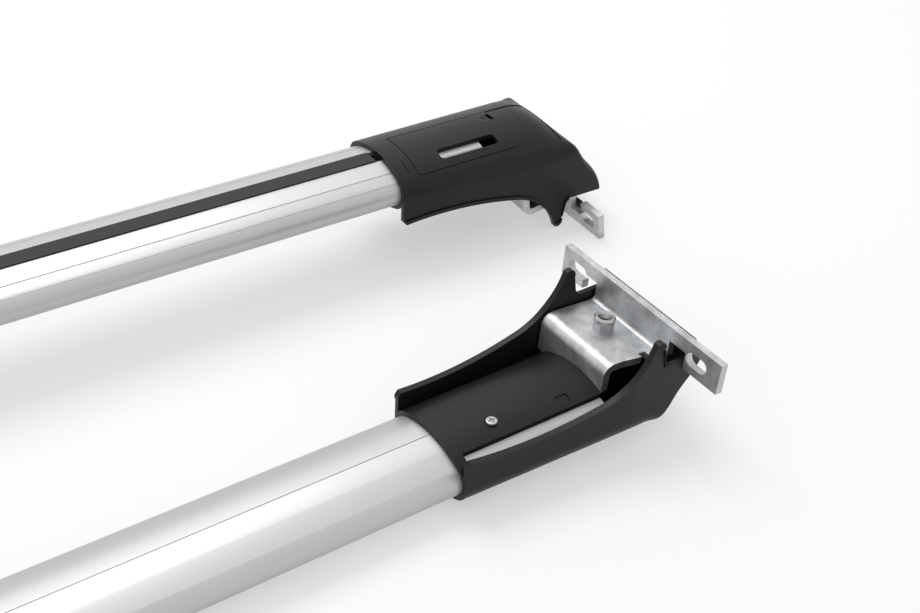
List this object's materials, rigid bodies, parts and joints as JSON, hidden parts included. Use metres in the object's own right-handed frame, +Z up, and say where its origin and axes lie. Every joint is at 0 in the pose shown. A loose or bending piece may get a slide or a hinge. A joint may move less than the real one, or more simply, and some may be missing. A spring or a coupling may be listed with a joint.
{
  "type": "roof cross bar pair",
  "caption": "Pair of aluminium roof cross bars with black moulded feet and folded clamp brackets, one standing and one lying upside down beside it.",
  "frame": {"origin": "on the floor under the middle of the pair", "axes": "+X along the standing bar towards its right foot, +Y from the inverted bar to the standing bar, +Z up"},
  "size_m": [1.1398, 0.3788, 0.0748],
  "materials": {
    "anodised_aluminium": "satin anodised",
    "black_rubber": "matte",
    "black_plastic": "fine grain, semi matte",
    "galvanised_steel": "galvanised, satin",
    "plated_steel": "zinc plated",
    "inner_plastic": "glass filled, matte"
  },
  "bodies": {
    "pair": {"front_bar": "anodised_aluminium", "front_rubber_strip": "black_rubber", "front_right_housing": "black_plastic", "front_right_bracket": "galvanised_steel", "front_right_hex_bush": "plated_steel", "front_right_clamp_bolt": "plated_steel", "front_right_washer": "plated_steel", "front_right_inner_block": "inner_plastic", "front_right_fixing_screw": "plated_steel", "front_right_rail_pad": "black_rubber", "front_left_housing": "black_plastic", "front_left_bracket": "galvanised_steel", "front_left_hex_bush": "plated_steel", "front_left_clamp_bolt": "plated_steel", "front_left_washer": "plated_steel", "front_left_inner_block": "inner_plastic", "front_left_fixing_screw": "plated_steel", "front_left_rail_pad": "black_rubber", "rear_bar": "anodised_aluminium", "rear_rubber_strip": "black_rubber", "rear_right_housing": "black_plastic", "rear_right_bracket": "galvanised_steel", "rear_right_hex_bush": "plated_steel", "rear_right_clamp_bolt": "plated_steel", "rear_right_washer": "plated_steel", "rear_right_inner_block": "inner_plastic", "rear_right_fixing_screw": "plated_steel", "rear_right_rail_pad": "black_rubber", "rear_left_housing": "black_plastic", "rear_left_bracket": "galvanised_steel", "rear_left_hex_bush": "plated_steel", "rear_left_clamp_bolt": "plated_steel", "rear_left_washer": "plated_steel", "rear_left_inner_block": "inner_plastic", "rear_left_fixing_screw": "plated_steel", "rear_left_rail_pad": "black_rubber"},
    "front_right_lid": {"front_right_hatch": "black_plastic"},
    "front_left_lid": {"front_left_hatch": "black_plastic"},
    "rear_right_lid": {"rear_right_hatch": "black_plastic"},
    "rear_left_lid": {"rear_left_hatch": "black_plastic"}
  },
  "joints": [
    {"name": "front_right_hatch_hinge", "type": "hinge", "parent": "pair", "child": "front_right_lid", "pos_m": [0.53712, 0.11004, 0.0682], "axis": [0, 1, 0], "range_deg": [0, 90]},
    {"name": "front_left_hatch_hinge", "type": "hinge", "parent": "pair", "child": "front_left_lid", "pos_m": [-0.50788, 0.12884, 0.0682], "axis": [0, -1, 0], "range_deg": [0, 90]},
    {"name": "rear_right_hatch_hinge", "type": "hinge", "parent": "pair", "child": "rear_right_lid", "pos_m": [0.44421, -0.08383, 0.0066], "axis": [0.0262, -0.9997, 0], "range_deg": [0, 90]},
    {"name": "rear_left_hatch_hinge", "type": "hinge", "parent": "pair", "child": "rear_left_lid", "pos_m": [-0.53596, -0.1283, 0.0066], "axis": [-0.0262, 0.9997, 0], "range_deg": [0, 90]}
  ]
}
